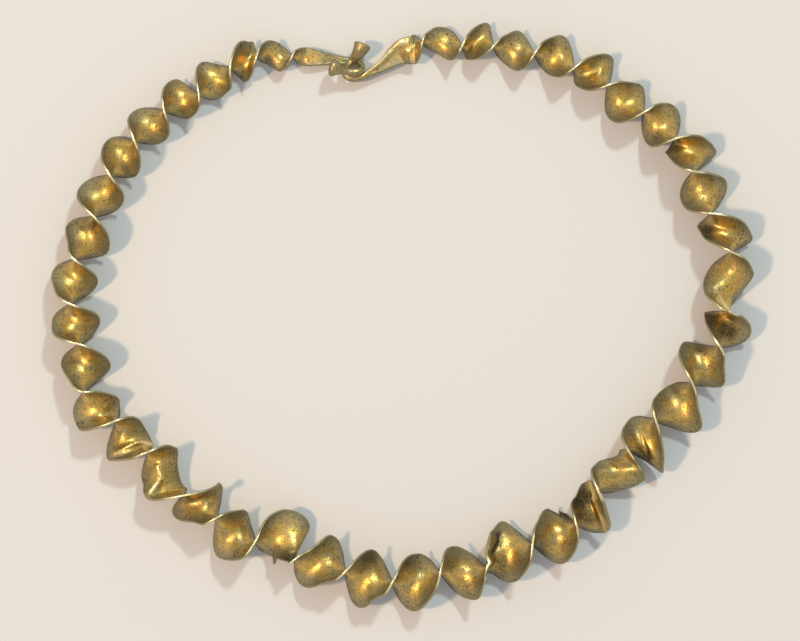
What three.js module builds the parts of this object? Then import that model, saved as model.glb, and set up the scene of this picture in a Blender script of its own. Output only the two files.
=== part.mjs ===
import * as THREE from 'three';

// A neck ring of twisted gold strip with two interlocked hook ends, lying flat. Millimetres, +Z up.
// The clasp is at +Y. Half turns are counted clockwise from the right end, seen from above.

// Driving sizes
const loopWidth = 190;          // between the outermost edges, left to right
const stripWidest = 15.7;       // width of the strip opposite the clasp
const stripAtEnds = 9.0;        // width that the strip tapers to beside the clasp
const stripThickness = 0.5;
const rightLeafWidth = 7.9;     // the flat that each strip end spreads into
const leftLeafWidth = 5.3;
const rodDiameter = 2.0;        // the hooks
const hookGap = 0.3;            // clear air between the two hooks
const knobDiameter = 4.9;       // flared end of the left hook
const trumpetDiameter = 4.6;    // flared end of the right hook
const twistLinger = 0.1;        // how much the twist slows on the flats, 0 for an even twist
const stepsPerHalfTurn = 13;
const stepsPerHookRow = 3;

// A whole number is a flat between two half turns, and a number and a half is where the strip stands
// on edge. A row has that number, the strip's middle there as hundredths of the loop's width to the
// right of and above the loop's middle, and the bearing of its outer edge in degrees. On edge, a row
// is given only where the strip strays from the smooth curve through the flats.
const halfTurns = [
  [0, 1.6, 38.2, 100], [0.5, 2.9, 39.4, 105], [1, 5.8, 39.1, 109], [1.5, 8.6, 38.8, 91],
  [2, 10.5, 39.3, 73], [3, 16.0, 38.0, 93], [4, 21.9, 37.3, 84], [4.5, 24.6, 35.6, 68],
  [5, 27.3, 35.1, 52], [6, 31.6, 30.7, 57], [6.5, 34.5, 29.3, 60], [7, 36.6, 27.5, 63],
  [7.5, 39.0, 25.4, 39], [8, 41.0, 24.1, 15], [8.5, 41.5, 20.6, 23], [9, 42.9, 17.9, 31],
  [9.5, 44.0, 14.7, 17], [10, 45.7, 12.3, 4], [10.5, 46.7, 9.2, 7], [11, 46.4, 5.4, 11],
  [11.5, 45.8, 1.3, -2], [12, 46.3, -0.6, -15], [12.5, 44.9, -4.2, -27], [13, 42.5, -6.5, -39],
  [13.5, 41.0, -9.4, -40], [14, 39.3, -13.1, -41], [14.5, 35.8, -14.6, -44], [15, 34.3, -18.1, -48],
  [15.5, 32.1, -19.0, -34], [16, 30.9, -21.8, -19], [16.35, 28.2, -23.8, -45],
  [16.65, 27.6, -25.1, -50], [17, 27.0, -27.6, -43], [18, 21.8, -30.9, -63], [19, 14.8, -33.6, -65],
  [19.5, 11.9, -35.6, -66], [20, 8.6, -36.2, -67], [20.5, 5.3, -36.3, -77], [21, 1.8, -37.6, -86],
  [22, -4.9, -37.2, -98], [23, -11.6, -34.6, -111], [23.5, -15.3, -34.2, -116],
  [23.75, -14.9, -32.2, -122], [24, -17.3, -30.8, -102], [24.25, -19.3, -31.1, -86],
  [24.5, -21.0, -32.0, -96], [25, -24.1, -31.1, -109], [25.5, -26.5, -28.4, -122], [26, -28.7, -26.3, -136],
  [26.25, -30.2, -26.0, -150], [26.5, -31.2, -25.1, -154], [26.75, -33.6, -24.7, -156],
  [26.88, -34.3, -23.0, -143], [27, -34.4, -21.3, -134], [27.5, -36.3, -19.1, -133],
  [27.75, -37.8, -18.3, -134], [28, -39.5, -17.4, -132], [28.5, -40.8, -14.7, -136],
  [28.75, -42.5, -14.1, -139], [29, -43.3, -13.4, -141], [29.25, -44.5, -11.7, -150],
  [29.5, -45.3, -10.4, -160], [29.75, -45.0, -8.3, -172], [30, -45.0, -6.6, -178],
  [30.75, -46.4, -2.2, -172], [31, -46.4, -0.6, -171], [31.5, -47.2, 2.1, -178],
  [32, -46.6, 5.6, -185], [32.5, -46.5, 8.4, -195], [32.75, -45.2, 9.9, -200],
  [33, -44.7, 11.5, -206], [34, -42.8, 17.5, -195], [35, -39.8, 22.9, -224],
  [36, -35.9, 27.4, -217], [37, -31.4, 31.2, -239], [37.5, -28.8, 31.8, -234],
  [38, -26.8, 34.2, -229], [39, -22.0, 36.5, -269], [39.5, -20.6, 37.3, -263],
  [40, -17.8, 37.3, -257], [41, -13.6, 37.3, -264],
];
const lastTurn = halfTurns[halfTurns.length - 1][0];

// Flats that creases and bends leave narrower than the taper gives, with the share of it they keep.
const narrowFlats = [
  [12, 0.92], [14, 0.96], [16, 0.87], [17, 0.9], [24, 0.85], [25, 0.95], [27, 0.9], [28, 0.95],
  [29, 0.95], [30, 0.95], [31, 0.96], [32, 0.95],
];

// Where an edge lies off the even twist: half turn, then what the outer and the inner edge gain, in
// hundredths of the loop's width. Each gain fades over trimReach of a half turn.
const edgeTrims = [
  [0.75, -0.5, -0.5], [1.3, 0.4, 0], [2.3, 0.3, 0], [2.75, 0, -0.4], [8, -0.4, 0], [8.37, 1.2, 0],
  [9.3, -0.4, 0], [9.75, 0.6, 0], [9.95, 0, -0.4], [10.38, 0.8, -0.5], [11.25, -1.4, 0],
  [12.72, -0.4, 0.6], [13.03, 0.5, 0], [13.3, -0.6, 0.3], [13.7, -0.6, -0.4], [13.95, 0.5, 0],
  [14.85, 0.3, 0], [15.24, 1.4, 0], [15.7, 0, -2.2], [16, 0.4, 0], [16.25, -0.9, 0],
  [17, 0, -0.4], [17.2, -0.5, 0], [18.2, 0, -0.5], [18.75, 0, 1.1], [19.25, -0.4, 0],
  [19.68, -0.5, 0], [19.92, 0.5, 0], [20.1, -0.4, 0], [21.25, -0.4, 0], [21.75, -0.9, 0],
  [22, 0, 0.3], [22.75, -0.5, 0], [23.3, -0.2, -1.5], [23.85, 0, 0.5], [24.33, 0, -0.6],
  [24.85, -0.6, 0.6], [25.3, 0.7, -0.3], [25.8, -1.0, 0], [26.25, 0, 1.0], [26.8, -0.4, -0.6],
  [27.75, -0.3, -0.7], [28.25, -0.4, 0], [29.25, 0, -0.5], [29.7, -0.6, 0], [31.75, -0.5, 0],
  [32.7, -0.5, 0], [37.3, 0.5, 0], [38.3, -0.9, 0.4], [38.8, 0.7, 0], [39.3, 0.4, 0],
  [39.7, 0, -0.9],
];
const trimReach = 0.3;

// Over these half turns the outer edge lies in before each flat and out after it, by outerSway
// hundredths. The sway grows from the first to the second and fades from the third to the fourth.
const outerSway = 0.5;
const swayTurns = [1, 2, 23, 24];

// The hooks, from the leaf outwards. Places are in hook pitches from the clasp's middle, so that
// the two hooks keep their gap at any rod size; then half the width and half the depth, mm.
const hookPitch = rodDiameter + hookGap;
const claspMiddle = [-6.8, 36.2];   // hundredths of the loop's width
const rod = rodDiameter / 2;
const rightHook = [
  [5.8, 1.5, 0, rod * 3.5, rod * 0.3],
  [4.8, 0.95, 0, rod * 2.75, rod * 0.45],
  [3.6, 0.0, 0, rod * 1.8, rod * 0.7],
  [2.35, -0.73, 0, rod * 1.35, rod * 0.85],
  [1.24, -1.35, 0, rod, rod],
  [0.24, -1.67, 0, rod, rod],
  [-0.7, -1.53, 0, rod, rod],
  [-1.1, -0.94, 0, rod, rod],
  [-0.8, -0.18, 0, rod, rod],
  [-0.24, 0.47, 0.1, rod, rod],
  [0.3, 1.06, 0.5, rod * 1.2, rod * 1.2],
  [0.76, 1.76, 0.8, trumpetDiameter * 0.46, trumpetDiameter * 0.46],
  [0.95, 2.2, 0.8, trumpetDiameter / 2, trumpetDiameter / 2],
  [1.05, 2.45, 0.8, trumpetDiameter * 0.35, trumpetDiameter * 0.35],
];
const leftHook = [
  [-4.1, 0.76, -0.3, rod * 2.1, rod * 0.45],
  [-2.6, 0.59, -0.8, rod * 1.55, rod * 0.7],
  [-1.2, 0.41, -1, rod * 1.3, rod * 0.85],
  [0.0, 0.3, -1, rod * 1.1, rod * 0.95],
  [0.76, -0.1, -0.4, rod, rod],
  [0.76, -0.7, 0.6, rod, rod],
  [0.2, -0.95, 1, rod, rod],
  [-0.7, -0.98, 1.1, rod, rod],
  [-1.5, -0.8, 1.4, rod * 1.25, rod * 1.25],
  [-2.1, -0.6, 1.5, knobDiameter * 0.42, knobDiameter * 0.42],
  [-2.55, -0.5, 1.5, knobDiameter / 2, knobDiameter / 2],
  [-2.95, -0.4, 1.5, knobDiameter * 0.36, knobDiameter * 0.36],
];

const claspLevel = hookPitch + rod;  // height of the right hook's rod, over the left hook's

const up = new THREE.Vector3(0, 0, 1);
const hundredth = loopWidth / 100;

// Value of every column at place t, by a smooth curve through the rows; column 0 is the place.
function between(rows, t) {
  let i = 0;
  while (i < rows.length - 2 && t > rows[i + 1][0]) i += 1;
  const slope = (k, column) => {
    const before = rows[Math.max(k - 1, 0)];
    const after = rows[Math.min(k + 1, rows.length - 1)];
    return (after[column] - before[column]) / (after[0] - before[0]);
  };
  const [from, to] = [rows[i], rows[i + 1]];
  const span = to[0] - from[0];
  const f = (t - from[0]) / span;
  return from.map((value, column) => {
    const bend = (1 - f) * (slope(i, column) * span - to[column] + value)
      + f * (to[column] - value - slope(i + 1, column) * span);
    return value + (to[column] - value) * f + f * (1 - f) * bend;
  });
}

function smoothStep(from, to, t) {
  const f = Math.min(Math.max((t - from) / (to - from), 0), 1);
  return f * f * (3 - 2 * f);
}

// Strip width at half turn t: a long taper each way from the widest place, then the leaf.
function stripWidth(t) {
  const swell = Math.sin(Math.PI * Math.min(Math.max(t / lastTurn, 0), 1)) ** 0.8;
  const near = (turn) => smoothStep(1, 0, Math.abs(t - turn));
  const kept = narrowFlats.reduce((rest, [turn, width]) => rest - (1 - width) * near(turn), 1);
  const plain = (stripAtEnds + (stripWidest - stripAtEnds) * swell) * kept;
  const rightLeaf = 1 - smoothStep(0, 1, t);
  const leftLeaf = smoothStep(lastTurn - 1.5, lastTurn, t);
  return plain + (rightLeafWidth - plain) * rightLeaf + (leftLeafWidth - plain) * leftLeaf;
}

// What the edges at the ruling's far and near ends gain at half turn t, in mm.
function edgeGains(t) {
  const [first, full, last, end] = swayTurns;
  const sway = outerSway * Math.sin(2 * Math.PI * t) * smoothStep(first, full, t) * smoothStep(end, last, t);
  const gains = Math.cos(Math.PI * t) >= 0 ? [sway, 0] : [0, sway];
  edgeTrims.forEach(([turn, outer, inner]) => {
    const near = smoothStep(trimReach, 0, Math.abs(t - turn));
    const outerEnd = Math.round(turn) % 2;   // the outer edge is the far end on even flats
    gains[outerEnd] += outer * near;
    gains[1 - outerEnd] += inner * near;
  });
  return gains.map((value) => value * hundredth);
}

// Half the strip's width at half turn t, as its edges leave it.
function halfWidthAt(t) {
  const [far, near] = edgeGains(t);
  return (stripWidth(t) + far + near) / 2;
}

// Direction across the strip: it makes one half turn, left-handed, between neighbouring flats.
function rulingAt(t) {
  const bearing = THREE.MathUtils.degToRad(between(halfTurns, t)[3]);
  const twist = Math.PI * t - twistLinger * Math.sin(2 * Math.PI * t);
  const outward = new THREE.Vector3(Math.cos(bearing), Math.sin(bearing), 0);
  return outward.multiplyScalar(Math.cos(twist)).addScaledVector(up, -Math.sin(twist));
}

// Rows of a hook in mm, with the count of steps from the leaf as the place.
function hookRows(hook, leafTurn) {
  const [, leafX, leafY] = between(halfTurns, leafTurn);
  const halfWidth = stripWidth(leafTurn) / 2;
  const centre = claspMiddle.map((value) => value * hundredth);
  const rows = hook.map(([x, y, z, width, depth], k) => [
    k + 1, centre[0] + x * hookPitch, centre[1] + y * hookPitch, claspLevel + z * hookPitch, width, depth,
  ]);
  const leaf = [0, leafX * hundredth, leafY * hundredth, halfWidth, halfWidth, stripThickness / 2];
  return [leaf, ...rows];
}

const rightRows = hookRows(rightHook, 0);
const leftRows = hookRows(leftHook, lastTurn);
const rightLength = rightHook.length;
const leftLength = leftHook.length;

// Middle of the piece at place s: negative on the right hook, then half turns, then the left hook.
function middle(s) {
  if (s < 0) {
    const [, x, y, z] = between(rightRows, -s);
    return new THREE.Vector3(x, y, z);
  }
  if (s > lastTurn) {
    const [, x, y, z] = between(leftRows, s - lastTurn);
    return new THREE.Vector3(x, y, z);
  }
  const [, x, y] = between(halfTurns, s);
  const [far, near] = edgeGains(s);
  const place = new THREE.Vector3(x * hundredth, y * hundredth, 0);
  const ruling = rulingAt(s);
  const level = stripWidth(s) / 2 + ((far + near) / 2) * ruling.z ** 2;
  return place.addScaledVector(ruling, (far - near) / 2).setZ(level);
}

function alongAt(s) {
  return middle(s + 0.02).sub(middle(s - 0.02)).normalize();
}

// Direction across the piece: the ruling, which turns square to a hook's rod past the leaf.
function acrossAt(s) {
  const t = Math.min(Math.max(s, 0), lastTurn);
  const ruling = rulingAt(t);
  const beyond = Math.abs(s - t);
  if (beyond === 0) return ruling;
  const square = up.clone().cross(alongAt(s)).normalize().multiplyScalar(Math.cos(Math.PI * t));
  return ruling.lerp(square, smoothStep(0, 1, beyond)).normalize();
}

function halfSizes(s) {
  if (s < 0) return between(rightRows, -s).slice(4);
  if (s > lastTurn) return between(leftRows, s - lastTurn).slice(4);
  return [halfWidthAt(s), stripThickness / 2];
}

// Eight corners round the piece at s: a thin strip with eased edges, or a round rod.
function ring(s) {
  const [halfWidth, halfDepth] = halfSizes(s);
  const squareness = Math.max(0.15, halfDepth / halfWidth);
  const power = (value) => Math.sign(value) * Math.abs(value) ** squareness;
  const reach = (place, u) => middle(place).addScaledVector(acrossAt(place), u * halfSizes(place)[0]);
  const across = acrossAt(s);
  return Array.from({ length: 8 }, (_, k) => {
    const angle = (k * Math.PI) / 4;
    const cosine = Math.abs(Math.cos(angle)) < 1e-9 ? 0 : Math.cos(angle);
    const sine = Math.abs(Math.sin(angle)) < 1e-9 ? 0 : Math.sin(angle);
    const u = power(cosine);
    const along = reach(s + 0.02, u).sub(reach(s - 0.02, u));
    const normal = along.cross(across).normalize();
    return reach(s, u).addScaledVector(normal, power(sine) * halfDepth);
  });
}

// A closed skin over a run of rings, with a fan over each end.
function skin(rings) {
  const points = rings.flat();
  const sides = rings[0].length;
  const faces = [];
  for (let i = 0; i < rings.length - 1; i += 1) {
    for (let k = 0; k < sides; k += 1) {
      const a = i * sides + k;
      const b = i * sides + ((k + 1) % sides);
      faces.push(a, b, b + sides, a, b + sides, a + sides);
    }
  }
  const last = (rings.length - 1) * sides;
  for (let k = 1; k < sides - 1; k += 1) {
    faces.push(0, k + 1, k);
    faces.push(last, last + k, last + k + 1);
  }
  const geometry = new THREE.BufferGeometry();
  geometry.setAttribute('position', new THREE.Float32BufferAttribute(points.flatMap((p) => p.toArray()), 3));
  geometry.setIndex(faces);
  geometry.computeVertexNormals();
  return geometry;
}

const places = [];
for (let k = rightLength * stepsPerHookRow; k > 0; k -= 1) places.push(-k / stepsPerHookRow);
for (let k = 0; k <= lastTurn * stepsPerHalfTurn; k += 1) places.push(k / stepsPerHalfTurn);
for (let k = 1; k <= leftLength * stepsPerHookRow; k += 1) places.push(lastTurn + k / stepsPerHookRow);

const geometry = skin(places.map(ring));
geometry.computeBoundingBox();
const { min, max } = geometry.boundingBox;
geometry.translate(-(min.x + max.x) / 2, -(min.y + max.y) / 2, -min.z);

const gold = new THREE.MeshStandardMaterial({ color: 0xa8843c, roughness: 0.38, metalness: 1 });
const ribbon = new THREE.Mesh(geometry, gold);
ribbon.name = 'twisted_ribbon';

const group = new THREE.Group();
group.name = 'ribbon_torc';
group.add(ribbon);

export default group;
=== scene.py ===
import math

import bpy
import numpy as np
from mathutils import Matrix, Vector, noise


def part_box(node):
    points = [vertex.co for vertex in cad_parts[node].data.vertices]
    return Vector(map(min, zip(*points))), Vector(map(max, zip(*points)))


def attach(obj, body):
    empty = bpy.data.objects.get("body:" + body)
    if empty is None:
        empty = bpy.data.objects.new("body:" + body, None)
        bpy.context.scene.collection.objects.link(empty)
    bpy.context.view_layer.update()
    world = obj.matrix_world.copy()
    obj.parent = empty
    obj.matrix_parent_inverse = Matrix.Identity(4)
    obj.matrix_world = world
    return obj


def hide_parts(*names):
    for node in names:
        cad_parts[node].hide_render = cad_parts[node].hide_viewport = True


mm = 0.001

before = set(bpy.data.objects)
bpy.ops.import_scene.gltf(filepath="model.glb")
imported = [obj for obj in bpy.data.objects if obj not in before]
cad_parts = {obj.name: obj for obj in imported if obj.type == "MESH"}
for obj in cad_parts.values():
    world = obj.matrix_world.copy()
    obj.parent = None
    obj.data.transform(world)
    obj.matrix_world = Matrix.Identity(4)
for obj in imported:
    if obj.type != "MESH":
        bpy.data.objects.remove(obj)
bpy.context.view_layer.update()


# A socket in a node tree. Arithmetic on it adds Math nodes to the tree.
class Wire:
    def __init__(self, kit, socket):
        self.kit = kit
        self.socket = socket

    def __add__(self, other):
        return self.kit.math("ADD", self, other)

    def __sub__(self, other):
        return self.kit.math("SUBTRACT", self, other)

    def __rsub__(self, other):
        return self.kit.math("SUBTRACT", other, self)

    def __mul__(self, other):
        return self.kit.math("MULTIPLY", self, other)

    def __truediv__(self, other):
        return self.kit.math("DIVIDE", self, other)

    def __rtruediv__(self, other):
        return self.kit.math("DIVIDE", other, self)

    __radd__ = __add__
    __rmul__ = __mul__


layout = {"columns": 14, "across": 180, "down": 170}   # how the nodes are spread out in the editor


# Adds nodes to one tree, material or geometry.
class NodeKit:
    def __init__(self, tree):
        self.tree = tree
        self.count = 0

    def node(self, kind, settings=None, inputs=None):
        made = self.tree.nodes.new(kind)
        self.count += 1
        row, column = divmod(self.count, layout["columns"])
        made.location = (layout["across"] * column, -layout["down"] * row)
        for key, value in (settings or {}).items():
            setattr(made, key, value)
        for key, value in (inputs or {}).items():
            self.put(self.find(made.inputs, key), value)
        return made

    def out(self, kind, output, settings=None, inputs=None):
        made = self.node(kind, settings, inputs)
        return Wire(self, self.find(made.outputs, output))

    def find(self, sockets, key):
        for socket in sockets:
            if socket.identifier == key:
                return socket
        return sockets[key]

    def put(self, socket, value):
        if isinstance(value, Wire):
            self.tree.links.new(value.socket, socket)
        else:
            socket.default_value = value

    def math(self, operation, *values):
        made = self.node("ShaderNodeMath", {"operation": operation})
        for socket, value in zip(made.inputs, values):
            self.put(socket, value)
        return Wire(self, made.outputs[0])

    def vector(self, operation, *values):
        made = self.node("ShaderNodeVectorMath", {"operation": operation})
        slots = made.inputs if operation != "SCALE" else [made.inputs[0], made.inputs["Scale"]]
        for socket, value in zip(slots, values):
            self.put(socket, value)
        return Wire(self, made.outputs["Vector"])

    def blend(self, factor, first, second):
        return self.out(
            "ShaderNodeMix", "Result_Color", {"data_type": "RGBA"},
            {"Factor_Float": factor, "A_Color": first, "B_Color": second},
        )

    def steps(self, value, low, high):   # 0 below low, 1 above high, smooth between
        return self.out(
            "ShaderNodeMapRange", "Result", {"interpolation_type": "SMOOTHSTEP"},
            {"Value": value, "From Min": low, "From Max": high},
        )


# The strip. Sizes are in mm, and the same as the solid's.
strip = {
    "loopWidth": 190,
    "widest": 15.7,
    "atEnds": 9.0,
    "thickness": 0.5,
    "rightLeaf": 7.9,
    "leftLeaf": 5.3,
    "leftLeafLength": 1.5,   # half turns over which the left leaf takes over from the taper
    "swellPower": 0.8,       # how quickly the strip widens from its ends
    "twistLinger": 0.1,
    "sway": 0.5,             # hundredths by which the outer edge lies in before each flat and out after it
    "swayTurns": (1, 2, 23, 24),
    "trimReach": 0.3,        # each of the edges' trims fades over this share of a half turn
    "edgeWear": 0.08,        # the worn edges lie this far inside the solid's
    "edgeBead": 0.3,         # the worn edges are this much thicker than the sheet
    "beadFrom": 0.88,        # share of the half width where the bead starts
    "stepsPerHalfTurn": 30,
    "stepsPerHookRow": 8,
    "columns": 33,
    "flatColumns": 0.8,      # share of the columns that the flat takes, the rest go round the edges
    "dentHeight": 0.13,
    "dentLength": 4.0,
    "weldDistance": 0.002,   # points of the two faces that are this close become one
}

# Half turn, then the middle of the strip in hundredths of the loop's width, and the bearing of the
# outer edge. Whole numbers are flats, and a number and a half is where the strip stands on edge.
halfTurns = [
    (0, 1.6, 38.2, 100), (0.5, 2.9, 39.4, 105), (1, 5.8, 39.1, 109), (1.5, 8.6, 38.8, 91),
    (2, 10.5, 39.3, 73), (3, 16.0, 38.0, 93), (4, 21.9, 37.3, 84), (4.5, 24.6, 35.6, 68),
    (5, 27.3, 35.1, 52), (6, 31.6, 30.7, 57), (6.5, 34.5, 29.3, 60), (7, 36.6, 27.5, 63),
    (7.5, 39.0, 25.4, 39), (8, 41.0, 24.1, 15), (8.5, 41.5, 20.6, 23), (9, 42.9, 17.9, 31),
    (9.5, 44.0, 14.7, 17), (10, 45.7, 12.3, 4), (10.5, 46.7, 9.2, 7), (11, 46.4, 5.4, 11),
    (11.5, 45.8, 1.3, -2), (12, 46.3, -0.6, -15), (12.5, 44.9, -4.2, -27), (13, 42.5, -6.5, -39),
    (13.5, 41.0, -9.4, -40), (14, 39.3, -13.1, -41), (14.5, 35.8, -14.6, -44), (15, 34.3, -18.1, -48),
    (15.5, 32.1, -19.0, -34), (16, 30.9, -21.8, -19), (16.35, 28.2, -23.8, -45),
    (16.65, 27.6, -25.1, -50), (17, 27.0, -27.6, -43), (18, 21.8, -30.9, -63), (19, 14.8, -33.6, -65),
    (19.5, 11.9, -35.6, -66), (20, 8.6, -36.2, -67), (20.5, 5.3, -36.3, -77), (21, 1.8, -37.6, -86),
    (22, -4.9, -37.2, -98), (23, -11.6, -34.6, -111), (23.5, -15.3, -34.2, -116),
    (23.75, -14.9, -32.2, -122), (24, -17.3, -30.8, -102), (24.25, -19.3, -31.1, -86),
    (24.5, -21.0, -32.0, -96), (25, -24.1, -31.1, -109), (25.5, -26.5, -28.4, -122),
    (26, -28.7, -26.3, -136), (26.25, -30.2, -26.0, -150), (26.5, -31.2, -25.1, -154),
    (26.75, -33.6, -24.7, -156), (26.88, -34.3, -23.0, -143), (27, -34.4, -21.3, -134),
    (27.5, -36.3, -19.1, -133),
    (27.75, -37.8, -18.3, -134), (28, -39.5, -17.4, -132), (28.5, -40.8, -14.7, -136),
    (28.75, -42.5, -14.1, -139), (29, -43.3, -13.4, -141), (29.25, -44.5, -11.7, -150),
    (29.5, -45.3, -10.4, -160), (29.75, -45.0, -8.3, -172), (30, -45.0, -6.6, -178),
    (30.75, -46.4, -2.2, -172), (31, -46.4, -0.6, -171), (31.5, -47.2, 2.1, -178),
    (32, -46.6, 5.6, -185), (32.5, -46.5, 8.4, -195), (32.75, -45.2, 9.9, -200),
    (33, -44.7, 11.5, -206), (34, -42.8, 17.5, -195), (35, -39.8, 22.9, -224),
    (36, -35.9, 27.4, -217), (37, -31.4, 31.2, -239), (37.5, -28.8, 31.8, -234),
    (38, -26.8, 34.2, -229), (39, -22.0, 36.5, -269), (39.5, -20.6, 37.3, -263),
    (40, -17.8, 37.3, -257), (41, -13.6, 37.3, -264),
]
lastTurn = halfTurns[-1][0]

# Flats that creases and bends leave narrower, with the share of the taper's width that they keep.
narrowFlats = [
    (12, 0.92), (14, 0.96), (16, 0.87), (17, 0.9), (24, 0.85), (25, 0.95), (27, 0.9), (28, 0.95),
    (29, 0.95), (30, 0.95), (31, 0.96), (32, 0.95),
]
# Where an edge lies off the even twist: half turn, then what the outer and the inner edge gain, in
# hundredths of the loop's width.
edgeTrims = [
    (0.75, -0.5, -0.5), (1.3, 0.4, 0), (2.3, 0.3, 0), (2.75, 0, -0.4), (8, -0.4, 0), (8.37, 1.2, 0),
    (9.3, -0.4, 0), (9.75, 0.6, 0), (9.95, 0, -0.4), (10.38, 0.8, -0.5), (11.25, -1.4, 0),
    (12.72, -0.4, 0.6), (13.03, 0.5, 0), (13.3, -0.6, 0.3), (13.7, -0.6, -0.4), (13.95, 0.5, 0),
    (14.85, 0.3, 0), (15.24, 1.4, 0), (15.7, 0, -2.2), (16, 0.4, 0), (16.25, -0.9, 0),
    (17, 0, -0.4), (17.2, -0.5, 0), (18.2, 0, -0.5), (18.75, 0, 1.1), (19.25, -0.4, 0),
    (19.68, -0.5, 0), (19.92, 0.5, 0), (20.1, -0.4, 0), (21.25, -0.4, 0), (21.75, -0.9, 0),
    (22, 0, 0.3), (22.75, -0.5, 0), (23.3, -0.2, -1.5), (23.85, 0, 0.5), (24.33, 0, -0.6),
    (24.85, -0.6, 0.6), (25.3, 0.7, -0.3), (25.8, -1.0, 0), (26.25, 0, 1.0), (26.8, -0.4, -0.6),
    (27.75, -0.3, -0.7), (28.25, -0.4, 0), (29.25, 0, -0.5), (29.7, -0.6, 0), (31.75, -0.5, 0),
    (32.7, -0.5, 0), (37.3, 0.5, 0), (38.3, -0.9, 0.4), (38.8, 0.7, 0), (39.3, 0.4, 0),
    (39.7, 0, -0.9),
]

# The hooks, from the leaf outwards: place in hook pitches from the clasp's middle, then half the
# width and half the depth in mm. Here the right leaf slopes less and the trumpet's neck is fuller than
# in the solid.
hook = {
    "rod": 2.0,
    "gap": 0.3,
    "knob": 4.9,
    "trumpet": 4.6,
    "claspMiddle": (-6.8, 36.2),
    "tipLength": 0.4,        # rows over which a tip is rounded
    "tipPlaces": [0, 0.004, 0.015, 0.035, 0.065, 0.1, 0.14, 0.2, 0.28, 0.37],
    "firstPlace": 0.5,       # rows from a tip where the even steps start
}
hookPitch = hook["rod"] + hook["gap"]
rod = hook["rod"] / 2
knob = hook["knob"] / 2
trumpet = hook["trumpet"] / 2
claspLevel = hookPitch + rod
rightHook = [
    (5.8, 1.5, 0.2, rod * 3.5, rod * 0.3), (4.8, 0.95, 0.08, rod * 2.75, rod * 0.45),
    (3.6, 0.0, 0, rod * 1.8, rod * 0.7), (2.35, -0.73, 0, rod * 1.35, rod * 0.85),
    (1.24, -1.35, 0, rod, rod), (0.24, -1.67, 0, rod, rod),
    (-0.7, -1.53, 0, rod, rod), (-1.1, -0.94, 0, rod, rod), (-0.8, -0.18, 0, rod, rod),
    (-0.24, 0.47, 0.1, rod * 1.1, rod * 1.1), (0.3, 1.06, 0.5, rod * 1.6, rod * 1.6),
    (0.76, 1.76, 0.8, trumpet * 0.92, trumpet * 0.92), (0.95, 2.2, 0.8, trumpet, trumpet),
    (1.05, 2.45, 0.8, trumpet * 0.7, trumpet * 0.7),
]
leftHook = [
    (-4.1, 0.76, -0.3, rod * 2.1, rod * 0.45), (-2.6, 0.59, -0.8, rod * 1.55, rod * 0.7),
    (-1.2, 0.41, -1, rod * 1.3, rod * 0.85),
    (0.0, 0.3, -1, rod * 1.1, rod * 0.95), (0.76, -0.1, -0.4, rod, rod),
    (0.76, -0.7, 0.6, rod, rod), (0.2, -0.95, 1, rod, rod), (-0.7, -0.98, 1.1, rod, rod),
    (-1.5, -0.8, 1.4, rod * 1.25, rod * 1.25), (-2.1, -0.6, 1.5, knob * 0.84, knob * 0.84),
    (-2.55, -0.5, 1.5, knob, knob), (-2.95, -0.4, 1.5, knob * 0.72, knob * 0.72),
]


def between(rows, t):   # every column of the rows at place t, by a smooth curve
    i = 0
    while i < len(rows) - 2 and t > rows[i + 1][0]:
        i += 1

    def slope(k):
        before = rows[max(k - 1, 0)]
        after = rows[min(k + 1, len(rows) - 1)]
        return (after - before) / (after[0] - before[0])

    span = rows[i + 1][0] - rows[i][0]
    f = (t - rows[i][0]) / span
    step = rows[i + 1] - rows[i]
    bend = (1 - f) * (slope(i) * span - step) + f * (step - slope(i + 1) * span)
    return rows[i] + step * f + f * (1 - f) * bend


def smoothStep(low, high, t):
    f = np.clip((t - low) / (high - low), 0, 1)
    return f * f * (3 - 2 * f)


def stripWidth(t):   # a long taper each way from the widest place, then the leaf
    swell = math.sin(math.pi * min(max(t / lastTurn, 0), 1)) ** strip["swellPower"]
    kept = 1 - sum((1 - width) * smoothStep(1, 0, abs(t - turn)) for turn, width in narrowFlats)
    plain = (strip["atEnds"] + (strip["widest"] - strip["atEnds"]) * swell) * kept
    rightLeaf = 1 - smoothStep(0, 1, t)
    leftLeaf = smoothStep(lastTurn - strip["leftLeafLength"], lastTurn, t)
    return plain + (strip["rightLeaf"] - plain) * rightLeaf + (strip["leftLeaf"] - plain) * leftLeaf


turnRows = [np.array(row, float) for row in halfTurns]
hundredth = strip["loopWidth"] / 100


def hookRows(rows, leafTurn):   # place, x, y, z, half width, half depth in mm, from the leaf on
    leaf = between(turnRows, leafTurn)
    half = stripWidth(leafTurn) / 2
    x, y = leaf[1:3] * hundredth
    made = [np.array([0, x, y, half, half, strip["thickness"] / 2])]
    for k, (x, y, z, width, depth) in enumerate(rows):
        across = hook["claspMiddle"][0] * hundredth + x * hookPitch
        along = hook["claspMiddle"][1] * hundredth + y * hookPitch
        made.append(np.array([k + 1, across, along, claspLevel + z * hookPitch, width, depth]))
    return made


rightRows = hookRows(rightHook, 0)
leftRows = hookRows(leftHook, lastTurn)


def edgeGains(t):   # what the edges at the ruling's far and near ends gain, in mm
    first, full, last, end = strip["swayTurns"]
    fade = smoothStep(first, full, t) * smoothStep(end, last, t)
    outer = strip["sway"] * math.sin(2 * math.pi * t) * fade
    gains = [outer, 0] if math.cos(math.pi * t) >= 0 else [0, outer]
    for turn, outer, inner in edgeTrims:
        near = smoothStep(strip["trimReach"], 0, abs(t - turn))
        ahead = round(turn) % 2   # the outer edge is the ruling's far end on even flats
        gains[ahead] += outer * near
        gains[1 - ahead] += inner * near
    return gains[0] * hundredth, gains[1] * hundredth


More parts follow.
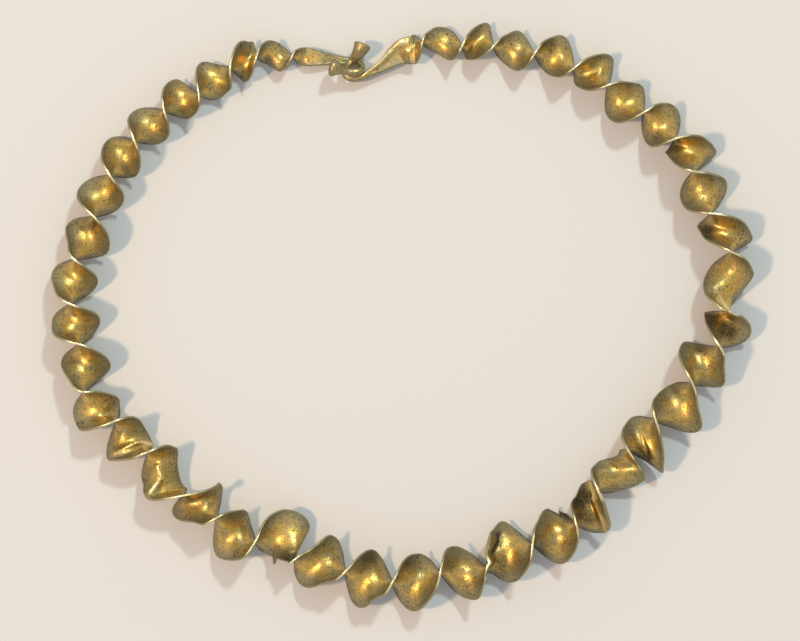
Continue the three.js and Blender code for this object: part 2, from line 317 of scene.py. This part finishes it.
def rulingAt(t, bearing):   # direction across the strip, one left-handed half turn for each turn
    twist = math.pi * t - strip["twistLinger"] * math.sin(2 * math.pi * t)
    angle = math.radians(bearing)
    level = math.cos(twist)
    return np.array([level * math.cos(angle), level * math.sin(angle), -math.sin(twist)])


def middleAt(s):   # centre, half width and half depth; s is under 0 on the right hook
    if s < 0:
        return between(rightRows, -s)[1:]
    if s > lastTurn:
        return between(leftRows, s - lastTurn)[1:]
    _, x, y, bearing = between(turnRows, s)
    far, near = edgeGains(s)
    half = (stripWidth(s) + far + near) / 2
    ruling = rulingAt(s, bearing)
    level = stripWidth(s) / 2 + (far + near) / 2 * ruling[2] ** 2
    x, y = np.array([x, y]) * hundredth + ruling[:2] * (far - near) / 2
    return np.array([x, y, level, half, strip["thickness"] / 2])


def headingAt(s):   # level direction to the outer edge of a flat
    t = min(max(s, 0), lastTurn)
    bearing = math.radians(between(turnRows, t)[3])
    outward = np.array([math.cos(bearing), math.sin(bearing), 0])
    beyond = abs(s - t)
    if beyond == 0:
        return outward
    nudge = 0.02
    along = middleAt(s + nudge)[:3] - middleAt(s - nudge)[:3]
    square = np.cross([0, 0, 1], along)
    square /= np.linalg.norm(square)
    mixed = outward + (square - outward) * smoothStep(0, 1, beyond)
    return mixed / np.linalg.norm(mixed)


def hookPlaces(rows):   # places on a hook from its tip to the leaf, close together at the rounded tip
    tip = [len(rows) - place for place in hook["tipPlaces"]]
    rest = np.arange(len(rows) - hook["firstPlace"], 0, -1 / strip["stepsPerHookRow"])
    return np.concatenate([tip, rest])


def guidePlaces():   # a run of places from the right hook's tip to the left one's
    turns = np.arange(0, lastTurn + 1e-6, 1 / strip["stepsPerHalfTurn"])
    return np.concatenate([-hookPlaces(rightHook), turns, lastTurn + hookPlaces(leftHook)[::-1]])


def makeGuide():   # one vertex for each row of the strip's grid, with what the row needs
    places = guidePlaces()
    rows = [middleAt(s) for s in places]
    mesh = bpy.data.meshes.new("stripGuide")
    links = [(i, i + 1) for i in range(len(rows) - 1)]
    mesh.from_pydata([tuple(row[:3] * mm) for row in rows], links, [])
    fromTip = np.minimum(places + len(rightHook), lastTurn + len(leftHook) - places)
    f = np.clip(1 - fromTip / hook["tipLength"], 0, 1)
    tipRound = np.sqrt(1 - f * f)
    onStrip = (places >= 0) & (places <= lastTurn)
    halfWidth = np.array([row[3] for row in rows]) * tipRound - strip["edgeWear"] * onStrip
    halfDepth = np.array([row[4] for row in rows]) * tipRound
    columns = {
        "turn": np.clip(places, 0, lastTurn),
        "place": places,
        "halfWidth": halfWidth * mm,
        "halfDepth": halfDepth * mm,
    }
    for name, values in columns.items():
        attribute = mesh.attributes.new(name, "FLOAT", "POINT")
        attribute.data.foreach_set("value", values.astype(np.float32))
    heading = mesh.attributes.new("heading", "FLOAT_VECTOR", "POINT")
    heading.data.foreach_set("vector", np.array([headingAt(s) for s in places], np.float32).ravel())
    guide = bpy.data.objects.new("stripGuide", mesh)
    bpy.context.scene.collection.objects.link(guide)
    return guide, len(places)


def twistTree(rowCount):   # the twisted strip, as a grid laid along the guide
    tree = bpy.data.node_groups.new("twistedStrip", "GeometryNodeTree")
    sizes = [("Rows", "NodeSocketInt", rowCount), ("Columns", "NodeSocketInt", strip["columns"]),
             ("Twist linger", "NodeSocketFloat", strip["twistLinger"]),
             ("Flat columns", "NodeSocketFloat", strip["flatColumns"]),
             ("Edge bead", "NodeSocketFloat", strip["edgeBead"])]
    tree.interface.new_socket("Geometry", in_out="INPUT", socket_type="NodeSocketGeometry")
    for name, kind, _ in sizes:
        tree.interface.new_socket(name, in_out="INPUT", socket_type=kind)
    tree.interface.new_socket("Material", in_out="INPUT", socket_type="NodeSocketMaterial")
    tree.interface.new_socket("Geometry", in_out="OUTPUT", socket_type="NodeSocketGeometry")
    kit = NodeKit(tree)
    given = kit.node("NodeGroupInput")
    size = {name: Wire(kit, given.outputs[name]) for name, _, _ in sizes}
    guideShape = Wire(kit, given.outputs["Geometry"])

    grid = kit.out("GeometryNodeMeshGrid", "Mesh", None, {
        "Size X": 1.0, "Size Y": 1.0, "Vertices X": size["Rows"], "Vertices Y": size["Columns"],
    })
    index = kit.out("GeometryNodeInputIndex", "Index")
    row = kit.math("FLOOR", (index + 0.5) / size["Columns"])
    column = index - row * size["Columns"]
    y = column / (size["Columns"] - 1) * 2 - 1
    reach = kit.math("ABSOLUTE", y)

    def atRow(field, kind, where):   # the guide's value of a field at a row
        return kit.out(
            "GeometryNodeSampleIndex", "Value", {"data_type": kind, "clamp": True},
            {"Geometry": guideShape, "Value": field, "Index": where},
        )

    def sample(name, kind, where):   # one of the guide's own values at a row
        stored = kit.out(
            "GeometryNodeInputNamedAttribute", "Attribute", {"data_type": kind}, {"Name": name},
        )
        return atRow(stored, kind, where)

    position = kit.out("GeometryNodeInputPosition", "Position")
    halfWidth = sample("halfWidth", "FLOAT", row)
    halfDepth = sample("halfDepth", "FLOAT", row)
    roundness = kit.math("MINIMUM", halfDepth / kit.math("MAXIMUM", halfWidth, 1e-7), 1.0)
    flat = size["Flat columns"] * (1.0001 - roundness)   # never quite 0
    bend = kit.math("MAXIMUM", reach - flat, 0.0) / (1 - flat) * (math.pi / 2)
    level = kit.math("MINIMUM", reach / flat, 1.0)
    u = kit.math("SIGN", y) * ((1 - roundness) * level + roundness * kit.math("SINE", bend))
    bead = 1 + size["Edge bead"] * kit.steps(level, strip["beadFrom"], 1.0) * (1 - roundness)
    lift = kit.math("COSINE", bend) * halfDepth * bead

    def rulingAt(where):   # direction across the strip, one left-handed half turn for each turn
        turn = sample("turn", "FLOAT", where)
        twist = turn * math.pi - size["Twist linger"] * kit.math("SINE", turn * (2 * math.pi))
        level = kit.vector("SCALE", sample("heading", "FLOAT_VECTOR", where), kit.math("COSINE", twist))
        plumb = kit.out("ShaderNodeCombineXYZ", "Vector", None, {"Z": 0 - kit.math("SINE", twist)})
        return kit.vector("ADD", level, plumb)

    def sheetAt(where):
        centre = atRow(position, "FLOAT_VECTOR", where)
        ruling = rulingAt(where)
        side = sample("halfWidth", "FLOAT", where) * u
        return kit.vector("ADD", centre, kit.vector("SCALE", ruling, side)), ruling

    place, ruling = sheetAt(row)
    ahead, _ = sheetAt(row + 1)
    behind, _ = sheetAt(row - 1)
    along = kit.vector("SUBTRACT", ahead, behind)
    normal = kit.vector("NORMALIZE", kit.vector("CROSS_PRODUCT", along, ruling))
    # the values ride on the grid's points, so that both faces read them
    shape = grid
    notes = [("acrossStrip", "FLOAT", u), ("turnPlace", "FLOAT", sample("place", "FLOAT", row)),
             ("sheetNormal", "FLOAT_VECTOR", normal), ("ruling", "FLOAT_VECTOR", ruling)]
    for name, kind, value in notes:
        shape = kit.out(
            "GeometryNodeStoreNamedAttribute", "Geometry", {"data_type": kind, "domain": "POINT"},
            {"Geometry": shape, "Name": name, "Value": value},
        )
    faces = []
    for side in (1, -1):
        lifted = kit.vector("ADD", place, kit.vector("SCALE", normal, lift * side))
        face = kit.out("GeometryNodeSetPosition", "Geometry", None, {"Geometry": shape, "Position": lifted})
        if side < 0:
            face = kit.out("GeometryNodeFlipFaces", "Mesh", None, {"Mesh": face})
        faces.append(face)
    joined = kit.node("GeometryNodeJoinGeometry")
    for face in reversed(faces):
        tree.links.new(face.socket, joined.inputs[0])
    closed = kit.out("GeometryNodeMergeByDistance", "Geometry", None, {
        "Geometry": Wire(kit, joined.outputs[0]), "Distance": strip["weldDistance"] * mm,
    })
    smooth = kit.out("GeometryNodeSetShadeSmooth", "Geometry", None, {"Geometry": closed})
    coated = kit.out("GeometryNodeSetMaterial", "Geometry", None, {
        "Geometry": smooth, "Material": Wire(kit, given.outputs["Material"]),
    })
    kit.node("NodeGroupOutput", None, {"Geometry": coated})
    return tree, sizes


def evaluated(holder, tree, sizes, material):   # sets the tree's inputs and returns its plain mesh
    modifier = holder.modifiers.new("strip", "NODES")
    modifier.node_group = tree
    values = {name: value for name, _, value in sizes}
    values["Material"] = material
    for item in tree.interface.items_tree:
        if item.in_out == "INPUT" and item.name in values:
            modifier[item.identifier] = values[item.name]
    graph = bpy.context.evaluated_depsgraph_get()
    mesh = bpy.data.meshes.new_from_object(holder.evaluated_get(graph))
    holder.modifiers.remove(modifier)
    return mesh


# Old gold: smoother and lighter in the middle of each flat; rougher towards the edges, where painted shade
# makes it darker and greenish, as it does where the strip stands on edge.
finish = {
    "gold": (0.74, 0.49, 0.13, 1),
    # tan and grey green also serve as painted shade towards the edges and on the hooks
    "tan": (0.56, 0.415, 0.175, 1),
    "olive": (0.39, 0.325, 0.15, 1),
    "greyGreen": (0.36, 0.325, 0.205, 1),
    # colour of the stains, and of the painted shade in folds, in dark patches and beside the edges
    "grimeAndShade": (0.075, 0.06, 0.03, 1),
    "speckle": (0.07, 0.05, 0.025, 1),
    "rim": (0.36, 0.33, 0.17, 1),
    # colour of the painted highlights along the edges and the ridges
    "polishAndHighlight": (1.0, 0.88, 0.50, 1),
    "metallic": 0.95,
    "heartRough": 0.35,
    "dullRough": 0.52,
    "stainStrength": 0.6,
    "pitStrength": 0.75,
    "hookShade": 0.6,            # how far painted shade takes the hooks towards the grey green
    "rimReach": (0.965, 0.99),   # shares of the half width between which the worn edge starts
    "edgeShadowReach": (0.78, 0.90),   # and the painted shadow and dirt beside it
    "bumpHeight": 0.18,          # mm
    "bumpStrength": 0.75,
}

# Noise for the stains and the grain, from broad to fine: scale per metre, detail and roughness.
clouds = {
    "broad": (90, 3.0, 0.55),
    "stain": (160, 4.0, 0.7),
    "middle": (330, 4.0, 0.55),
    "fine": (1300, 3.0, 0.65),
    "grain": (3200, 2.0, 0.6),
}


def goldMaterial():
    material = bpy.data.materials.new("oldGold")
    material.use_nodes = True
    tree = material.node_tree
    tree.nodes.clear()
    kit = NodeKit(tree)
    place = kit.out("ShaderNodeTexCoord", "Object")

    def mark(name):   # a value that the ribbon's mesh carries
        return kit.out("ShaderNodeAttribute", "Fac", {"attribute_name": name})

    def cloud(name):
        scale, detail, rough = clouds[name]
        return kit.out(
            "ShaderNodeTexNoise", "Fac", None,
            {"Vector": place, "Scale": scale, "Detail": detail, "Roughness": rough},
        )

    turn = kit.math("MINIMUM", kit.math("MAXIMUM", mark("turnPlace"), 0.0), lastTurn)
    shadeAndDirt = mark("foldShadeAndDirt")
    onHook = mark("onHook")
    glossAndHighlight = mark("glossAndHighlight")
    reach = kit.math("ABSOLUTE", mark("acrossStrip"))
    onEdge = 1 - kit.math("ABSOLUTE", kit.math("COSINE", turn * math.pi))   # 1 where the strip stands up
    broad = cloud("broad")
    middle = cloud("middle")
    fine = cloud("fine")
    grain = cloud("grain")

    # painted shade: the colour goes to tan and grey green near the edges and where the strip stands on
    # edge, mixed with random tone; the same mask also raises roughness
    unevenDull = (broad - 0.5) * 1.1 + (middle - 0.5) * 0.6
    dullAndShade = kit.steps(reach * 0.9 + unevenDull + onEdge * 0.35, 0.12, 0.72)
    unevenGreen = (broad - 0.5) * 0.8 + (fine - 0.5) * 0.9
    greenToneAndShade = kit.steps(reach + unevenGreen + onEdge * 0.3, 0.45, 0.92)
    stains = kit.steps(cloud("stain") - 0.5 + (fine - 0.5) * 0.6, 0.10, 0.28)
    pits = kit.steps(fine * 0.5 + grain * 0.5, 0.53, 0.61)
    rim = kit.steps(reach, *finish["rimReach"]) * (1 - onHook)
    edgeShadowAndDirt = kit.steps(reach, *finish["edgeShadowReach"]) * (1 - rim) * (1 - onHook)
    # painted highlight: a pale bright line along the edges where the strip stands up; the same mask also
    # lowers roughness there
    polishAndHighlight = rim * kit.steps(onEdge, 0.55, 0.85)
    # painted highlight: pale glints along the creases and ridges
    paintedGlint = kit.steps(glossAndHighlight, 0.55, 1.0) * kit.steps(fine, 0.35, 0.55)

    colour = kit.blend(dullAndShade, finish["gold"], finish["tan"])
    colour = kit.blend(kit.steps(middle, 0.42, 0.68) * 0.8, colour, finish["olive"])
    colour = kit.blend(greenToneAndShade * 0.85, colour, finish["greyGreen"])
    # painted shade: the hooks are taken towards grey green
    colour = kit.blend(onHook * finish["hookShade"], colour, finish["greyGreen"])
    colour = kit.blend(stains * finish["stainStrength"], colour, finish["grimeAndShade"])
    # painted shade in the crease valleys and in the dark patches, with some dirt
    colour = kit.blend(shadeAndDirt * (0.35 + fine * 1.1), colour, finish["grimeAndShade"])
    # painted highlight: the creases' ridges are taken to bright gold, and also made smoother
    colour = kit.blend(glossAndHighlight * 0.75, colour, finish["gold"])
    colour = kit.blend(pits * (finish["pitStrength"] - glossAndHighlight * 0.5), colour, finish["speckle"])
    # painted shadow and dirt in a band beside the edges, strongest where the strip stands on edge
    colour = kit.blend(edgeShadowAndDirt * (0.1 + kit.steps(onEdge, 0.3, 0.8) * 0.75), colour, finish["grimeAndShade"])
    colour = kit.blend(rim * 0.5, colour, finish["rim"])
    # painted highlight: pale colour on the edges at the crossings and on the glints
    colour = kit.blend(kit.math("MAXIMUM", polishAndHighlight * 0.95, paintedGlint * 0.8), colour, finish["polishAndHighlight"])

    roughness = finish["heartRough"] + dullAndShade * (finish["dullRough"] - finish["heartRough"])
    roughness = roughness + (fine - 0.5) * 0.3 + stains * 0.1 - polishAndHighlight * 0.28 - glossAndHighlight * 0.12
    bump = kit.out("ShaderNodeBump", "Normal", None, {
        "Height": middle * 0.7 + fine * 0.5 + grain * 0.2 - pits * 0.2,
        "Distance": finish["bumpHeight"] * mm, "Strength": finish["bumpStrength"],
    })
    shader = kit.out("ShaderNodeBsdfPrincipled", "BSDF", None, {
        "Base Color": colour, "Metallic": finish["metallic"], "Roughness": roughness, "Normal": bump,
    })
    kit.node("ShaderNodeOutputMaterial", None, {"Surface": shader})
    return material


def meshArray(mesh, name, width):
    values = np.empty(len(mesh.vertices) * width, np.float32)
    data = mesh.attributes[name].data
    data.foreach_get("vector" if width == 3 else "value", values)
    return values.reshape(-1, width) if width == 3 else values


def makeRibbon():
    guide, rowCount = makeGuide()
    tree, sizes = twistTree(rowCount)
    mesh = evaluated(guide, tree, sizes, goldMaterial())
    print("strip laid, vertices", len(mesh.vertices), "faces", len(mesh.polygons))
    return mesh


# Creases, folds and lines of painted highlight: the first and last half turn that they may touch, the two
# ends as pixels of the picture, the height and half width of the ridge in mm, and how strongly it carries
# painted highlight and gloss.
creases = [
    (14.5, 15.5, (641, 428), (656, 459), 0.9, 2.4, 0.6),
    (16.5, 17.4, (589, 483), (597, 500), 1.0, 1.6, 0.8),
    (16.5, 17.4, (596, 499), (607, 531), 1.3, 2.0, 0.7),
    (26.5, 27.5, (158, 464), (161, 480), 0.7, 1.6, 0.8),
    (26.5, 27.5, (161, 478), (148, 496), 0.9, 1.8, 0.9),
    (26.5, 27.5, (163, 489), (184, 488), 0.5, 1.8, 0.4),
    (27.5, 28.5, (151, 446), (138, 442), 0.9, 1.6, 1.0),
    (27.5, 28.5, (138, 442), (113, 455), 0.9, 1.6, 0.7),
    (18.5, 19.5, (500, 533), (500, 542), -0.9, 1.4, 0),
    (18.5, 19.5, (500, 542), (493, 554), -1.0, 1.4, 0),
    (18.5, 19.5, (490, 534), (488, 548), 0.5, 1.5, 0.3),
    (17.5, 18.5, (551, 510), (572, 520), -0.6, 1.2, 0),
    (4.5, 5.5, (606, 62), (593, 84), 0.35, 1.8, 0.4), (3.5, 4.5, (556, 36), (562, 52), 0.3, 1.8, 0.4),
    (21.5, 22.5, (366, 572), (374, 590), 0.35, 1.4, 0.3),
    (8.5, 9.5, (712, 176), (711, 206), 0.3, 2.0, 0),
    (10.6, 11.9, (715, 296), (726, 306), 0.3, 3.0, 1.0),
    (10.6, 11.9, (722, 306), (738, 314), 0.6, 2.0, 1.0),
    (23.2, 24.0, (290, 551), (312, 549), 0, 0.8, 0.8), (-2.6, 0.5, (398, 43), (409, 40), 0.5, 2.4, 1.0),
    (-1.6, 0.5, (408, 48), (412, 50), 0.3, 1.5, 0.9),
    (-7.6, -3.4, (347, 76), (366, 72), 0.15, 1.5, 1.0),
    (-6.4, -0.8, (364, 73), (385, 57), 0.5, 1.5, 1.0), (-4.4, 0.5, (383, 58), (400, 41), 0.5, 1.5, 0.9),
]

# Dark patches, partly painted shade on flanks that lie in shadow and partly dirt: half turn, the middle as
# a pixel of the picture, the radius in mm and the strength.
patches = [
    (17, (582, 498), 6.0, 1.0), (17, (586, 515), 5.0, 0.7), (15, (643, 459), 5.4, 1.0),
    (12, (710, 320), 4.0, 0.9), (12, (727, 331), 4.6, 1.0), (18, (538, 547), 4.6, 0.9),
    (24, (291, 557), 4.0, 0.9), (19, (497, 566), 5.0, 0.6), (10, (706, 233), 3.6, 0.7),
    (13, (700, 345), 3.4, 0.6), (8, (672, 146), 3.4, 0.7), (33, (94, 226), 3.0, 0.7),
    (22, (369, 557), 3.4, 0.7), (40, (240, 52), 3.4, 0.5), (26, (187, 498), 2.6, 0.6),
    (21, (404, 560), 3.4, 0.6), (-1, (405, 58), 3.6, 0.8), (41, (320, 56), 4.0, 0.6),
    (4, (549, 45), 3.2, 0.5),
]

# Tabs and spurs at the edges: half turn, the ruling's end that they are at, level reach in mm, and
# half their length as a share of a half turn.
tabs = [(17.56, -1, 2.6, 0.09), (24.02, 1, 1.7, 0.06), (27.0, 1, 0.4, 0.08)]

# Knocks that have pushed the sheet sideways: half turn, the spot and the push as pixels of the
# picture, and the knock's radius in mm.
knocks = [
    (11.05, (723, 302), (4, 9), 3.4), (19.4, (488, 560), (4.5, 0), 1.9),
    (19.5, (489, 572), (-3.5, 1), 1.6),
]

# How the marks fade out.
markForm = {
    "overrun": 0.15,             # a crease fades in from this share of its length past each end
    "endFull": 0.1,              # to this share inside it
    "turnFade": (0.06, 0.04),    # and from and to these half turns past and inside its limits
    "creaseSharp": 1.4,
    "glossAndHighlightFull": 0.8,            # share of a crease's height above which its painted highlight and gloss are strongest
    "shadeDepth": 0.8,           # mm at which a fold is wholly darkened by painted shade
    "patchFull": 0.2,            # share of its radius within which a patch is darkest
    "patchTurns": (0.6, 0.5),    # a patch fades out between these distances from its half turn
    "knockTurns": (0.7, 0.45),   # and a knock between these
    "tabRoot": 0.72,             # share of the half width where a tab starts
    "tabFull": 0.45,             # share of half its length within which a tab has its full reach
    "dentEnds": (0.4, 0.4, 0.3),   # places past the right and left leaf, and inside, where dents fade
    "shadedHooks": (3.2, 2.0, 0.2),  # and where the painted shade on the hooks does
}

# The picture that the marks' pixels belong to.
picture = {
    "size": (800, 641),
    "middle": (402.5, 316.5),    # the pixel at the ring's middle
    "pixel": 190 / 703,          # a pixel's size in mm
}


def fromPicture(spot):   # place in metres of a pixel of the picture
    x = (spot[0] - picture["middle"][0]) * picture["pixel"]
    y = (picture["middle"][1] - spot[1]) * picture["pixel"]
    return np.array([x, y]) * mm


def creaseMarks(points, turn):   # what the creases raise each point by, in metres, and their painted highlight and gloss
    lift = np.zeros(len(points))
    glossAndHighlight = np.zeros(len(points))
    overrun = markForm["overrun"]
    full = markForm["endFull"]
    past, inside = markForm["turnFade"]
    for low, high, first, last, height, halfWidth, glossAndHighlightStrength in creases:
        start = fromPicture(first)
        run = fromPicture(last) - start
        length = math.hypot(*run)
        along = np.clip((points[:, :2] - start) @ run / length**2, -overrun, 1 + overrun)
        off = np.linalg.norm(points[:, :2] - start - along[:, None] * run, axis=1)
        ridge = np.clip(1 - off / (halfWidth * mm), 0, 1) ** markForm["creaseSharp"]
        ends = smoothStep(-overrun, full, along) * smoothStep(1 + overrun, 1 - full, along)
        touched = smoothStep(low - past, low + inside, turn) * smoothStep(high + past, high - inside, turn)
        lift += height * mm * ridge * ends * touched
        # painted highlight and gloss along each crease's ridge
        glossAndHighlight = np.maximum(glossAndHighlight, glossAndHighlightStrength * smoothStep(0, markForm["glossAndHighlightFull"], ridge) * ends * touched)
    return lift, glossAndHighlight


def patchMarks(points, turn):   # how dark each point is painted in the patches, as shade and dirt
    patchShadeAndDirt = np.zeros(len(points))
    for place, spot, radius, strength in patches:
        off = np.linalg.norm(points[:, :2] - fromPicture(spot), axis=1) / (radius * mm)
        near = smoothStep(1, markForm["patchFull"], off)
        onFlat = smoothStep(*markForm["patchTurns"], abs(turn - place))
        patchShadeAndDirt = np.maximum(patchShadeAndDirt, strength * near * onFlat)
    return patchShadeAndDirt


def tabPush(turn, across, ruling):   # how far the tabs push each point, in metres
    level = np.linalg.norm(ruling[:, :2], axis=1)
    outward = ruling[:, :2] / np.maximum(level, 0.05)[:, None]   # fades out where the strip stands up
    push = np.zeros((len(turn), 3))
    for place, end, length, halfLength in tabs:
        near = smoothStep(1, markForm["tabFull"], abs(turn - place) / halfLength)
        reach = end * length * mm * near * smoothStep(markForm["tabRoot"], 1.0, across * end)
        push[:, :2] += outward * reach[:, None]
    return push


def knockPush(points, turn):   # how far the knocks push each point, in metres
    push = np.zeros((len(turn), 3))
    for place, spot, (right, down), radius in knocks:
        off = np.linalg.norm(points[:, :2] - fromPicture(spot), axis=1) / (radius * mm)
        near = smoothStep(1, 0, off) * smoothStep(*markForm["knockTurns"], abs(turn - place))
        push[:, :2] += near[:, None] * np.array([right, -down]) * picture["pixel"] * mm
    return push


def bumpNoise(points, length):   # slow unevenness of hand work, one value for each point
    return np.array([noise.noise(Vector(p) * (1 / length)) for p in points])


def intoBox(points):   # moves the points to the middle of the solid's box, and down to its foot
    foot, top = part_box("twisted_ribbon")
    low = points.min(axis=0)
    high = points.max(axis=0)
    shift = np.array([(foot[i] + top[i] - low[i] - high[i]) / 2 for i in range(3)])
    shift[2] = foot[2] - low[2]
    return points + shift


def offHooks(turn, right, left, inside):   # 1 on the strip, fading to 0 along each hook
    return smoothStep(-right, inside, turn) * smoothStep(lastTurn + left, lastTurn - inside, turn)


def finishRibbon(mesh):
    points = meshArray(mesh, "position", 3).astype(float)
    normal = meshArray(mesh, "sheetNormal", 3)
    ruling = meshArray(mesh, "ruling", 3).astype(float)
    turn = meshArray(mesh, "turnPlace", 1)
    across = meshArray(mesh, "acrossStrip", 1)
    uneven = bumpNoise(points / mm, strip["dentLength"]) * strip["dentHeight"] * mm
    uneven *= offHooks(turn, *markForm["dentEnds"])
    centred = points - (points.min(axis=0) + points.max(axis=0)) / 2
    lift, glossAndHighlight = creaseMarks(centred, turn)
    patchShadeAndDirt = patchMarks(centred, turn)
    upward = np.sign(normal[:, 2])
    points += tabPush(turn, across, ruling) + knockPush(centred, turn)
    points += normal * (uneven + lift * upward)[:, None]
    mesh.vertices.foreach_set("co", intoBox(points).astype(np.float32).ravel())
    marks = {
        # painted shade in the folds and the dark patches, with some dirt
        "foldShadeAndDirt": np.maximum(np.clip(-lift / (markForm["shadeDepth"] * mm), 0, 1), patchShadeAndDirt),
        "glossAndHighlight": glossAndHighlight,
        "onHook": 1 - offHooks(turn, *markForm["shadedHooks"]),
    }
    for name, values in marks.items():
        attribute = mesh.attributes.new(name, "FLOAT", "POINT")
        attribute.data.foreach_set("value", values.astype(np.float32))
    mesh.update()
    ribbon = bpy.data.objects.new("goldRibbon", mesh)
    bpy.context.scene.collection.objects.link(ribbon)
    return ribbon


ribbon = finishRibbon(makeRibbon())
bpy.data.objects.remove(bpy.data.objects["stripGuide"])
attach(ribbon, "root")
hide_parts("twisted_ribbon")
print("ribbon done")


# Floor, lights and camera, in metres. A light has its place, power and colour.
studio = {
    "floorColour": (0.66, 0.66, 0.68, 1),
    "floorRough": 0.9,
    "floorHalf": 3.0,
    "world": (0.98, 0.99, 1.0, 1),
    "worldStrength": 0.56,
    "lampSize": 0.16,
    "warmLight": ((-0.96, -0.12, 1.56), 17, (1.0, 0.68, 0.38)),
    "paleLight": ((0.51, 1.02, 1.50), 13, (0.86, 1.0, 0.90)),
    "viewDistance": 0.9,     # from the camera to the middle of the strip's height
    "middleHeight": 0.0065,
    "sensor": 36,
}


def areaLight(name):
    place, power, colour = studio[name]
    data = bpy.data.lights.new(name, "AREA")
    data.shape = "DISK"
    data.size = studio["lampSize"]
    data.energy = power
    data.color = colour
    light = bpy.data.objects.new(name, data)
    light.location = place
    light.rotation_euler = (Vector((0, 0, 0)) - Vector(place)).to_track_quat("-Z", "Y").to_euler()
    bpy.context.scene.collection.objects.link(light)


def makeStudio():
    half = studio["floorHalf"]
    corners = [(-half, -half, 0), (half, -half, 0), (half, half, 0), (-half, half, 0)]
    mesh = bpy.data.meshes.new("floor")
    mesh.from_pydata(corners, [], [(0, 1, 2, 3)])
    floor = bpy.data.objects.new("floor", mesh)
    bpy.context.scene.collection.objects.link(floor)
    material = bpy.data.materials.new("paleFloor")
    material.use_nodes = True
    shader = material.node_tree.nodes["Principled BSDF"]
    shader.inputs["Base Color"].default_value = studio["floorColour"]
    shader.inputs["Roughness"].default_value = studio["floorRough"]
    mesh.materials.append(material)
    world = bpy.data.worlds.new("studio")
    world.use_nodes = True
    background = world.node_tree.nodes["Background"]
    background.inputs["Color"].default_value = studio["world"]
    background.inputs["Strength"].default_value = studio["worldStrength"]
    bpy.context.scene.world = world
    bpy.context.scene.view_settings.view_transform = "Standard"
    areaLight("warmLight")
    areaLight("paleLight")


def makeCamera():
    data = bpy.data.cameras.new("camera")
    across, down = picture["size"]
    data.sensor_width = studio["sensor"]
    data.lens = studio["sensor"] * studio["viewDistance"] / (across * picture["pixel"] * mm)
    camera = bpy.data.objects.new("camera", data)
    x, y = fromPicture((across / 2, down / 2))
    camera.location = (x, y, studio["viewDistance"] + studio["middleHeight"])
    bpy.context.scene.collection.objects.link(camera)
    bpy.context.scene.camera = camera


makeStudio()
makeCamera()
print("studio done")
